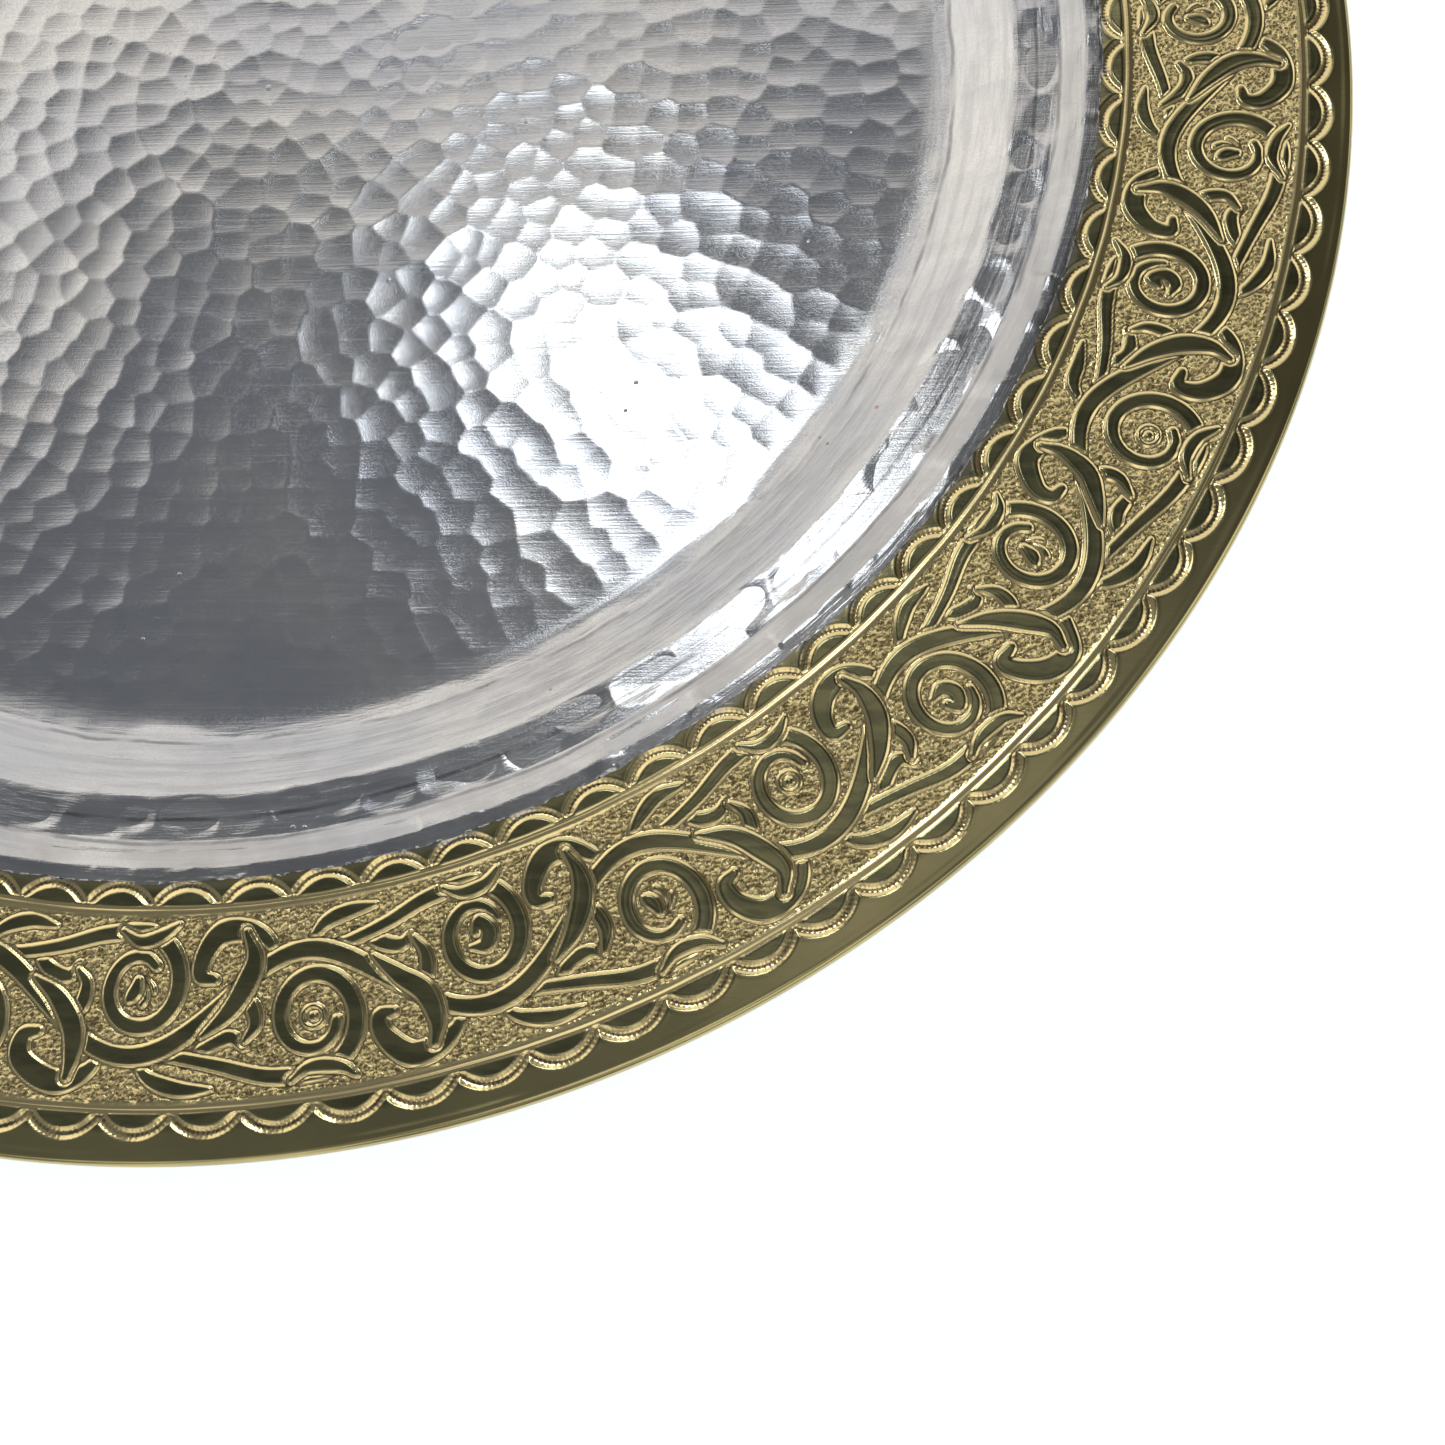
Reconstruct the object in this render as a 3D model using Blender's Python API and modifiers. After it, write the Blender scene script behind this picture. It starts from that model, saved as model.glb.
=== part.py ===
"""Round serving tray: one sheet of brass with a sunk, tinned well, a wide flat rim and a wired edge.

Frame: metres, +Z up. The origin is the centre of the flat underside that the tray rests on, and Z is
the axis that every piece is turned about.
"""

import math

import bpy

# Driving dimensions
OUTER_RADIUS = 0.300  # to the outside of the wired edge
SHEET_THICKNESS = 0.0010
WELL_DEPTH = 0.0162  # from the rim's upper face down to the floor's upper face

# Radii where the middle of the sheet changes slope
FLOOR_RADIUS = 0.1905
CREASE_RADIUS = 0.1965
WALL_TOP_RADIUS = 0.2125
LEDGE_RADIUS = 0.2245
RIM_INNER_RADIUS = 0.2313

# Heights of those places above the floor
CREASE_RISE = 0.0015
WALL_RISE = 0.0117
LEDGE_RISE = 0.0126

BEND_RADIUS = 0.0025  # middle of the sheet, at every bend
BEND_STEPS = 2

# Wired edge
WIRE_RADIUS = 0.0010
FIT_GAP = 0.0003  # kept between pieces that touch
CURL_RADIUS = WIRE_RADIUS + FIT_GAP + SHEET_THICKNESS / 2
CURL_SWEEP = math.radians(265)
CURL_STEPS = 8
WIRE_SIDES = 8

# Tin wiped over the inside
LINING_THICKNESS = 0.0003
LINING_OUTER_RADIUS = 0.2350

TURN_STEPS = 64
MERGE_DISTANCE = 0.00001

MATERIALS = {
    "brass": ((0.56, 0.45, 0.19), 0.25),
    "tin": ((0.66, 0.66, 0.68), 0.35),
    "steel": ((0.30, 0.29, 0.28), 0.45),
}

COLLECTION_NAME = "engraved_tray"


def clear_scene():
    for old in list(bpy.data.objects):
        bpy.data.objects.remove(old, do_unlink=True)


def make_collection(name):
    collection = bpy.data.collections.new(name)
    bpy.context.scene.collection.children.link(collection)
    return collection


def make_metal(name):
    colour, roughness = MATERIALS[name]
    material = bpy.data.materials.new(name)
    material.use_nodes = True
    shader = material.node_tree.nodes["Principled BSDF"]
    shader.inputs["Base Color"].default_value = (*colour, 1.0)
    shader.inputs["Metallic"].default_value = 1.0
    shader.inputs["Roughness"].default_value = roughness
    return material


def arc(centre, radius, start, sweep, steps):
    """Points along an arc in the (r, z) plane, both ends included."""
    points = []
    for step in range(steps + 1):
        angle = start + sweep * step / steps
        points.append((centre[0] + radius * math.cos(angle), centre[1] + radius * math.sin(angle)))
    return points


def rounded(corners, radius, steps):
    """The polyline through corners with every inner corner turned into a short arc."""
    points = [corners[0]]
    for before, corner, after in zip(corners, corners[1:], corners[2:]):
        angle_in = math.atan2(corner[1] - before[1], corner[0] - before[0])
        angle_out = math.atan2(after[1] - corner[1], after[0] - corner[0])
        turn = angle_out - angle_in
        side = math.copysign(1.0, turn)
        setback = radius * math.tan(abs(turn) / 2)
        start = (corner[0] - setback * math.cos(angle_in), corner[1] - setback * math.sin(angle_in))
        normal = angle_in + side * math.pi / 2
        centre = (start[0] + radius * math.cos(normal), start[1] + radius * math.sin(normal))
        points += arc(centre, radius, normal + math.pi, turn, steps)
    points.append(corners[-1])
    return points


def well_corners(outer_radius):
    """Corners of the sheet's middle surface from the axis out to the rim, before the bends are rounded."""
    floor = SHEET_THICKNESS / 2
    return [
        (0.0, floor),
        (FLOOR_RADIUS, floor),
        (CREASE_RADIUS, floor + CREASE_RISE),
        (WALL_TOP_RADIUS, floor + WALL_RISE),
        (LEDGE_RADIUS, floor + LEDGE_RISE),
        (RIM_INNER_RADIUS, floor + WELL_DEPTH),
        (outer_radius, floor + WELL_DEPTH),
    ]


def turned_shell(name, profile, thickness, material, collection):
    """A sheet of even thickness, turned about Z from the line of its middle."""
    mesh = bpy.data.meshes.new(name)
    points = [(radius, 0.0, height) for radius, height in profile]
    edges = [(index, index + 1) for index in range(len(points) - 1)]
    mesh.from_pydata(points, edges, [])
    shell = bpy.data.objects.new(name, mesh)
    collection.objects.link(shell)
    mesh.materials.append(material)

    screw = shell.modifiers.new("turn", "SCREW")
    screw.axis = "Z"
    screw.steps = TURN_STEPS
    screw.render_steps = TURN_STEPS
    screw.use_merge_vertices = True
    screw.merge_threshold = MERGE_DISTANCE
    screw.use_smooth_shade = True

    solidify = shell.modifiers.new("sheet", "SOLIDIFY")
    solidify.thickness = thickness
    solidify.offset = 0.0
    solidify.use_even_offset = True
    return shell


def make_tray_sheet(collection):
    """The whole tray body: floor, wall, ledge, riser, rim and the edge rolled over the wire."""
    curl_centre = curl_middle()
    profile = rounded(well_corners(curl_centre[0]), BEND_RADIUS, BEND_STEPS)
    curl = arc(curl_centre, CURL_RADIUS, math.pi / 2, -CURL_SWEEP, CURL_STEPS)
    profile = profile[:-1] + curl
    return turned_shell("tray_sheet", profile, SHEET_THICKNESS, make_metal("brass"), collection)


def curl_middle():
    """Centre of the wire's section."""
    radius = OUTER_RADIUS - SHEET_THICKNESS / 2 - CURL_RADIUS
    return (radius, SHEET_THICKNESS / 2 + WELL_DEPTH - CURL_RADIUS)


def make_tin_lining(collection):
    """The tin on the floor, the wall and the start of the rim, as a thin skin just over the sheet."""
    lift = SHEET_THICKNESS / 2 + FIT_GAP + LINING_THICKNESS / 2
    corners = []
    for radius, height in well_corners(LINING_OUTER_RADIUS):
        corners.append((radius, height + lift))
    profile = rounded(corners, BEND_RADIUS, BEND_STEPS)
    return turned_shell("tin_lining", profile, LINING_THICKNESS, make_metal("tin"), collection)


def make_rim_wire(collection):
    """The wire that stiffens the edge."""
    radius, height = curl_middle()
    bpy.ops.mesh.primitive_torus_add(
        major_radius=radius,
        minor_radius=WIRE_RADIUS,
        major_segments=TURN_STEPS,
        minor_segments=WIRE_SIDES,
    )
    wire = bpy.context.active_object
    wire.name = "rim_wire"
    wire.data.name = "rim_wire"
    wire.location.z = height
    wire.data.materials.append(make_metal("steel"))
    wire.data.shade_smooth()
    for owner in list(wire.users_collection):
        owner.objects.unlink(wire)
    collection.objects.link(wire)
    return wire


def main():
    clear_scene()
    tray = make_collection(COLLECTION_NAME)
    make_tray_sheet(tray)
    make_tin_lining(tray)
    make_rim_wire(tray)


main()
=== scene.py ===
"""Looks of a round engraved tray: hammered tinned well, chased brass rim and a wired edge.

Every piece is a turned surface made of rings of points. Hammer marks, chased lines and the
ornament are worked out as heights over that surface, so they are real relief in the mesh.
"""

import math

import bpy
import numpy as np
from mathutils import Euler, Matrix, Vector


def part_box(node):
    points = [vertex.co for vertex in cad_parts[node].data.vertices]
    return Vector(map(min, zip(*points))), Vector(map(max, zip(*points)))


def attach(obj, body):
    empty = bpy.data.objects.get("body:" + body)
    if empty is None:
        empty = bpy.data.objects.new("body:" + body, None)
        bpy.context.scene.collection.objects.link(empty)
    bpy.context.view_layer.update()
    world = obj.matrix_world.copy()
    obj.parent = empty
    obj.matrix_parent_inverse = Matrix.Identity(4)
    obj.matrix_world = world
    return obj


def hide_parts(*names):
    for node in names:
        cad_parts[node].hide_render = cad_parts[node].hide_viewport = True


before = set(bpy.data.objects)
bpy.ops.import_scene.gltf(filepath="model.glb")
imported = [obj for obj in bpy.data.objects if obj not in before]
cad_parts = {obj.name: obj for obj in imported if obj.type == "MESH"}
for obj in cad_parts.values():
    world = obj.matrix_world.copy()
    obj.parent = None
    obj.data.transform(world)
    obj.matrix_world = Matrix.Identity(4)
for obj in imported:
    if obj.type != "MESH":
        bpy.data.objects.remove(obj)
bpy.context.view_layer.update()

SHEET_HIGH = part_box("tray_sheet")[1]

MM = 0.001
TURN = 2 * math.pi
SEED = 7

# ---------------------------------------------------------------- sizes, as the CAD sheet has them
OUTER_RADIUS = SHEET_HIGH.x
RIM_TOP = SHEET_HIGH.z
SHEET = 1.0 * MM
HALF_SHEET = SHEET / 2
WELL_DEPTH = RIM_TOP - SHEET

FLOOR_RADIUS = 190.5 * MM
CREASE_RADIUS = 196.5 * MM
WALL_TOP_RADIUS = 212.5 * MM
LEDGE_RADIUS = 224.5 * MM
RIM_INNER_RADIUS = 231.3 * MM
CREASE_RISE = 1.5 * MM
WALL_RISE = 11.7 * MM
LEDGE_RISE = 12.6 * MM
SOFT_BENDS = (34 * MM, 7 * MM, 5 * MM, 4 * MM, 2.5 * MM)  # as the hammer leaves them
BEND_STEPS = 6

WIRE_RADIUS = 1.0 * MM
CURL_RADIUS = 1.8 * MM
CURL_SWEEP = math.radians(265)
CURL_STEPS = 26
CURL_SQUARENESS = 3.6  # 2 would be a true circle

# ---------------------------------------------------------------- tin
TIN_LIFT = 0.25 * MM  # upper face of the tin over the brass
TIN_BACK_LIFT = 0.05 * MM
TIN_MIN_LIFT = 0.02 * MM  # what is left of that at the feathered edge
TIN_DIP_LIMIT = 0.17 * MM  # how far the tin may sink past the ledge, so that it stays over the brass
TIN_EDGE_RADIUS = 234.9 * MM
TIN_EDGE_RAG = 0.35 * MM
TIN_EDGE_WAVES = (11, 23, 41, 67, 90, 137, 211, 293, 390)  # ripples in one turn
TIN_FEATHER = 1.0 * MM

# ---------------------------------------------------------------- hammer marks
MARK_SPACING = 9.8 * MM
MARK_ROW_GAP = 0.9 * MARK_SPACING
MARK_SCATTER = 0.16  # of the spacing
MARK_CURVATURE = (88 * MM, 150 * MM)  # smallest and largest radius of the hammer's face
MARK_DEPTH = 0.105 * MM
MARK_SOFTNESS = 0.004 * MM  # how softly two marks join
MARK_LIFT_SPREAD = 0.010 * MM
MARK_TILT_SPREAD = 0.006
FLOOR_MARK_LEVEL = 0.45 * MARK_DEPTH
BACK_MARK_SHARE = 0.6  # how much of the marks comes through to the back
BACK_CLEARANCE = 0.06 * MM

CREASE_DEPTH = 0.04 * MM  # the line where the wall starts
CREASE_HALF_WIDTH = 1.0 * MM

# Slow waves: steepness, longest and shortest wave
TIN_WAVES = (0.010, 180 * MM, 30 * MM)
TIN_WAVES_END = (225 * MM, 231 * MM)  # they die out on the riser
WALL_WAVES = (0.045, 60 * MM, 9 * MM)
RIM_WAVES = (0.010, 150 * MM, 25 * MM)
FLOOR_EDGE_WAVES = (0.15, 40 * MM, 15 * MM)

# Rows of oval marks: radius of the row's middle, spacing, half width, and tilt as a multiple of the floor's
LEDGE_MARKS = ((WALL_TOP_RADIUS + LEDGE_RADIUS) / 2, 12.5 * MM, 4.6 * MM, 5.0)
LIP_MARKS = (RIM_INNER_RADIUS + 1.4 * MM, 8.5 * MM, 3.0 * MM, 9.0)
LEDGE_REACH = 9 * MM
LIP_REACH = 6 * MM
ROW_MARK_SHARPNESS = 0.75  # radius of a row's marks as a share of the floor's
ROW_MARK_SOFTNESS = 0.014 * MM
ROW_MARK_BORDER = 0.03 * MM

# ---------------------------------------------------------------- chased rim
# "cusp" is the radius the arcs meet at, "height" is positive towards the tray's edge, "first" is in degrees
INNER_SCALLOPS = {"count": 90, "cusp": 242.1 * MM, "height": -6.2 * MM, "width": 3.1 * MM, "first": 262.483}
OUTER_SCALLOPS = {"count": 108, "cusp": 288.1 * MM, "height": 4.85 * MM, "width": 3.2 * MM, "first": 265.624}
SCALLOP_DEPTH = 0.48 * MM
SCALLOP_SHAKE = 0.10 * MM
CHATTER_LENGTH = 1.15 * MM  # from one beat of the chasing tool to the next

BORDER_BEADS = (242.0 * MM, 286.7 * MM)
BEAD_HALF_WIDTH = 1.15 * MM
BEAD_VALLEY = 0.5 * MM
BEAD_DEPTH = 0.32 * MM
BAND_INNER = 243.0 * MM
BAND_OUTER = 285.7 * MM
BAND_MIDDLE = (BAND_INNER + BAND_OUTER) / 2
BAND_HEIGHT = BAND_OUTER - BAND_INNER
GROUND_DEPTH = 0.28 * MM
GROUND_GRAIN = 0.10 * MM
OUTLINE_DEPTH = 0.46 * MM
OUTLINE_INNER_WALL = (-0.25 * MM, 0.85 * MM)  # distances outside a stroke's edge
OUTLINE_OUTER_WALL = (0.95 * MM, 1.45 * MM)
OUTLINE_SMOOTH = 1.0 * MM  # the ground isn't punched nearer than this
OUTLINE_REACH = 1.5 * MM
STROKE_LIP_HEIGHT = 0.04 * MM
STROKE_LIP_INSET = 0.6 * MM
STROKE_LIP_WIDTH = 0.3 * MM

REPEATS = 20
TURN_LENGTH = TURN * BAND_MIDDLE
REPEAT = TURN_LENGTH / REPEATS
DRAWN_REPEAT = 103.8 * MM  # the length that the strokes below are drawn for
VINE_RISE = 11.0 * MM
VINE_HALF_WIDTH = 1.75 * MM
STROKE_STEP = 0.8 * MM
GRID = 0.18 * MM

# ---------------------------------------------------------------- distances between points of the meshes
HIDDEN_STEP = 5.0 * MM
UNDER_STEP = 2.2 * MM
TIN_STEP = 0.65 * MM
RIM_STEP = 0.45 * MM
LEAST_STEP = 0.04 * MM
RIM_DETAIL_RADIUS = RIM_INNER_RADIUS - 1 * MM  # the fine rings of the brass start here
EDGE_FADE = (296.5 * MM, 297.6 * MM)  # where the relief dies out before the rolled edge

# ---------------------------------------------------------------- stage
LAMP_COLOUR = (0.89, 0.945, 1.0)
GROUND_RADIUS = 6.0
GROUND_HEIGHT = -0.3 * MM
LENS = 37.37
SENSOR = 36.0
CAMERA_PLACE = (0.5429, -0.9634, 1.1501)  # from the middle of the rim's plane, in outer radii
CAMERA_TURN = (15.254, 4.019, 1.095)  # degrees about X, Y and Z


def smooth(low, high, value):
    """0 below low, 1 above high, with a soft change between."""
    t = np.clip((value - low) / (high - low), 0.0, 1.0)
    return t * t * (3 - 2 * t)


def unsmooth(low, high, value):
    return 1.0 - smooth(low, high, value)


# ================================================================ turned profiles


def arc(centre, radius, start, sweep, steps):
    angles = start + sweep * np.arange(steps + 1) / steps
    return np.stack([centre[0] + radius * np.cos(angles), centre[1] + radius * np.sin(angles)], 1)


def squared_arc(centre, radius, start, sweep, steps):
    """An arc that runs nearly flat over its top and sides, as an edge closed over a wire does."""
    unit = arc((0, 0), 1.0, start, sweep, steps)
    return np.array(centre) + radius * np.sign(unit) * np.abs(unit) ** (2 / CURL_SQUARENESS)


def rounded(corners):
    """The polyline through corners in the (r, z) plane with each inner corner turned into an arc."""
    pieces = [np.array(corners[:1])]
    for before, corner, after, radius in zip(corners, corners[1:], corners[2:], SOFT_BENDS):
        angle_in = math.atan2(corner[1] - before[1], corner[0] - before[0])
        angle_out = math.atan2(after[1] - corner[1], after[0] - corner[0])
        turn = angle_out - angle_in
        setback = radius * math.tan(abs(turn) / 2)
        start = (corner[0] - setback * math.cos(angle_in), corner[1] - setback * math.sin(angle_in))
        normal = angle_in + math.copysign(math.pi / 2, turn)
        centre = (start[0] + radius * math.cos(normal), start[1] + radius * math.sin(normal))
        pieces.append(arc(centre, radius, normal + math.pi, turn, BEND_STEPS))
    pieces.append(np.array(corners[-1:]))
    return np.concatenate(pieces)


def sheet_corners(end_radius):
    """Corners of the middle of the sheet from the axis out to end_radius on the rim."""
    floor = HALF_SHEET
    return [
        (0.0, floor),
        (FLOOR_RADIUS, floor),
        (CREASE_RADIUS, floor + CREASE_RISE),
        (WALL_TOP_RADIUS, floor + WALL_RISE),
        (LEDGE_RADIUS, floor + LEDGE_RISE),
        (RIM_INNER_RADIUS, floor + WELL_DEPTH),
        (end_radius, floor + WELL_DEPTH),
    ]


def wire_centre():
    radius = OUTER_RADIUS - HALF_SHEET - CURL_RADIUS
    return radius, HALF_SHEET + WELL_DEPTH - CURL_RADIUS


def divided(line, step_at):
    """The line with points added so that no step is longer than step_at(radius)."""
    out = [line[:1]]
    for a, b in zip(line, line[1:]):
        length = math.hypot(*(b - a))
        along = a
        while length > 0:
            step = step_at(along[0])
            if step >= length:
                break
            along = along + (b - along) * (step / length)
            out.append(along[None])
            length = math.hypot(*(b - along))
        out.append(b[None])
    line = np.concatenate(out)
    gaps = np.hypot(*np.diff(line, axis=0).T)
    return line[np.concatenate([[True], gaps > LEAST_STEP])]


def line_normals(line):
    """Unit normals to the left of a line that runs outwards, so they point up."""
    along = np.gradient(line, axis=0)
    along /= np.linalg.norm(along, axis=1)[:, None]
    return np.stack([-along[:, 1], along[:, 0]], 1)


# ================================================================ rings to mesh


def join_rings(first, n, half_a, second, m, half_b):
    """Triangles between two rings of n and m points; half_a and half_b shift a ring by half a step."""
    i = np.arange(n)
    j = np.arange(m)
    b_at = -((-((2 * i + 1 + half_a) * m - (1 + half_b) * n)) // (2 * n))
    a_at = ((2 * j + 1 + half_b) * n - (1 + half_a) * m) // (2 * m) + 1
    inner = np.stack([first + i, second + b_at % m, first + (i + 1) % n], 1)
    outer = np.stack([first + a_at % n, second + j, second + (j + 1) % m], 1)
    return np.concatenate([inner, outer])


def turned_mesh(name, line, normals, steps, height_at):
    """A closed skin turned about Z. line starts and ends on the axis; height_at(radius, angle, row) moves
    each point along its normal."""
    rows = np.arange(1, len(line) - 1)
    counts = np.maximum(8, np.round(TURN * line[rows, 0] / steps[rows])).astype(int)
    halves = rows % 2
    starts = 1 + np.concatenate([[0], np.cumsum(counts)[:-1]])
    row_of = np.repeat(rows, counts)
    index = np.arange(counts.sum()) - np.repeat(starts - 1, counts)
    angle = (index + 0.5 * np.repeat(halves, counts)) * TURN / np.repeat(counts, counts)

    lift = height_at(line[row_of, 0], angle, row_of)
    radius = line[row_of, 0] + lift * normals[row_of, 0]
    height = line[row_of, 1] + lift * normals[row_of, 1]
    body = np.stack([radius * np.cos(angle), radius * np.sin(angle), height], 1)
    ends = [np.array([[0.0, 0.0, line[row, 1]]]) for row in (0, -1)]
    points = np.concatenate([ends[0], body, ends[1]])

    faces = []
    fan = np.arange(counts[0])
    faces.append(np.stack([0 * fan, 1 + fan, 1 + (fan + 1) % counts[0]], 1))
    for k in range(len(rows) - 1):
        faces.append(join_rings(starts[k], counts[k], halves[k], starts[k + 1], counts[k + 1], halves[k + 1]))
    fan = np.arange(counts[-1])
    last = len(points) - 1
    faces.append(np.stack([starts[-1] + fan, 0 * fan + last, starts[-1] + (fan + 1) % counts[-1]], 1))
    faces = np.concatenate(faces)

    mesh = bpy.data.meshes.new(name)
    mesh.vertices.add(len(points))
    mesh.vertices.foreach_set("co", points.astype(np.float32).ravel())
    mesh.loops.add(3 * len(faces))
    mesh.loops.foreach_set("vertex_index", faces.astype(np.int32).ravel())
    mesh.polygons.add(len(faces))
    mesh.polygons.foreach_set("loop_start", np.arange(0, 3 * len(faces), 3, dtype=np.int32))
    mesh.update(calc_edges=True)
    mesh.validate()
    mesh.shade_smooth()
    piece = bpy.data.objects.new(name, mesh)
    bpy.context.scene.collection.objects.link(piece)
    return piece


def point_values(piece, name, values):
    """Stores one number for each point; the two points on the axis take 0."""
    store = piece.data.attributes.new(name, "FLOAT", "POINT")
    store.data.foreach_set("value", np.concatenate([[0.0], values, [0.0]]).astype(np.float32))


# ================================================================ hammer marks


def hammered(x, y, centres, curvature, lift, tilt, softness=MARK_SOFTNESS):
    """Heights left by overlapping round-faced hammer blows: the lowest bowl at each point, softly joined."""
    size = 1.25 * MARK_SPACING
    low = centres.min(0) - 2 * size
    shape = np.ceil((centres.max(0) + 2 * size - low) / size).astype(int) + 1
    cell = ((centres - low) / size).astype(int)
    number = cell[:, 0] * shape[1] + cell[:, 1]
    order = np.argsort(number, kind="stable")
    number = number[order]
    first = np.searchsorted(number, np.arange(shape[0] * shape[1]))
    count = np.bincount(number, minlength=shape[0] * shape[1])

    cx = np.clip(((x - low[0]) / size).astype(int), 1, shape[0] - 2)
    cy = np.clip(((y - low[1]) / size).astype(int), 1, shape[1] - 2)
    total = np.full(len(x), 1e-30)
    for dx in (-1, 0, 1):
        for dy in (-1, 0, 1):
            home = (cx + dx) * shape[1] + cy + dy
            for k in range(count.max()):
                there = np.nonzero(count[home] > k)[0]
                mark = order[first[home[there]] + k]
                px = x[there] - centres[mark, 0]
                py = y[there] - centres[mark, 1]
                bowl = (px * px + py * py) / (2 * curvature[mark]) + lift[mark]
                bowl += tilt[mark, 0] * px + tilt[mark, 1] * py
                total[there] += np.exp(-bowl / softness)
    return -softness * np.log(total)


def random_marks(rng, count):
    """Radius, height and slope of each blow."""
    curvature = rng.uniform(*MARK_CURVATURE, count)
    lift = rng.normal(0, MARK_LIFT_SPREAD, count)
    tilt = rng.normal(0, MARK_TILT_SPREAD, (count, 2))
    return curvature, lift, tilt


def floor_marks(x, y, rng):
    """Rows of blows that run round the floor, as a planisher works from the middle out."""
    centres = [np.zeros((1, 2))]
    for row in range(1, int((FLOOR_RADIUS + 2 * MARK_SPACING) / MARK_ROW_GAP)):
        radius = row * MARK_ROW_GAP
        count = round(TURN * radius / (MARK_SPACING * rng.uniform(0.92, 1.12)))
        angle = (np.arange(count) + rng.uniform(0, 1) + rng.normal(0, 0.12, count)) * TURN / count
        radii = radius + rng.normal(0, MARK_SCATTER * MARK_ROW_GAP, count)
        centres.append(np.stack([radii * np.cos(angle), radii * np.sin(angle)], 1))
    centres = np.concatenate(centres)
    return hammered(x, y, centres, *random_marks(rng, len(centres)))


def row_marks(radius, angle, middle, spacing, half_width, more_tilt, rng):
    """One row of blows round a narrow step, each an oval hollow that overlaps the next one."""
    count = round(TURN * middle / spacing)
    place = (np.arange(count) + rng.normal(0, MARK_SCATTER, count)) * spacing
    along = angle * count * spacing / TURN
    centres = np.stack([place, rng.normal(0, 0.14 * half_width, count)], 1)
    curvature, lift, tilt = random_marks(rng, count)
    curvature *= ROW_MARK_SHARPNESS
    tilt *= more_tilt
    wrap = np.concatenate([np.arange(count - 3, count), np.arange(count), np.arange(3)])
    centres = centres[wrap]
    centres[:3, 0] -= count * spacing
    centres[-3:, 0] += count * spacing
    half_length = 0.62 * spacing
    across = (radius - middle) * half_length / half_width
    marks = hammered(along, across, centres, curvature[wrap], lift[wrap], tilt[wrap], ROW_MARK_SOFTNESS)
    depth = half_length**2 / (ROW_MARK_SHARPNESS * sum(MARK_CURVATURE))
    return -ROW_MARK_BORDER * np.log1p(np.exp((depth - marks) / ROW_MARK_BORDER))


def slow_waves(x, y, rng, slope, longest, shortest, waves=16):
    """Soft unevenness of a hand-raised surface: plane waves of about equal steepness."""
    total = np.zeros_like(x)
    for length in np.geomspace(longest, shortest, waves):
        phase, bearing = rng.uniform(0, TURN), rng.uniform(0, TURN)
        turns = TURN / length
        total += np.cos(turns * (x * math.cos(bearing) + y * math.sin(bearing)) + phase) / turns
    return slope * total / math.sqrt(waves)


# ================================================================ ornament


def smooth_path(points):
    """A smooth curve through a few points, sampled about every STROKE_STEP."""
    p = np.asarray(points, float)
    p = np.vstack([2 * p[0] - p[1], p, 2 * p[-1] - p[-2]])
    out = []
    for a, b, c, d in zip(p, p[1:], p[2:], p[3:]):
        n = max(2, int(np.hypot(*(c - b)) / STROKE_STEP))
        t = np.linspace(0, 1, n, endpoint=False)[:, None]
        bend = (2 * a - 5 * b + 4 * c - d) * t**2 + (3 * b - a - 3 * c + d) * t**3
        out.append(0.5 * (2 * b + (c - a) * t + bend))
    out.append(p[-2][None])
    return np.vstack(out)


def leaf(points, first, widest, last, place=0.45):
    """A stroke through points that swells to widest at the share place; all numbers in millimetres."""
    path = smooth_path(np.asarray(points, float) * MM)
    t = np.linspace(0, 1, len(path))
    rise = np.sin(np.clip(t / place, 0, 1) * math.pi / 2) ** 1.4
    fall = np.sin(np.clip((1 - t) / (1 - place), 0, 1) * math.pi / 2) ** 0.9
    width = np.where(t < place, first + (widest - first) * rise, last + (widest - last) * fall)
    return path, 0.82 * width * MM


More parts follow.
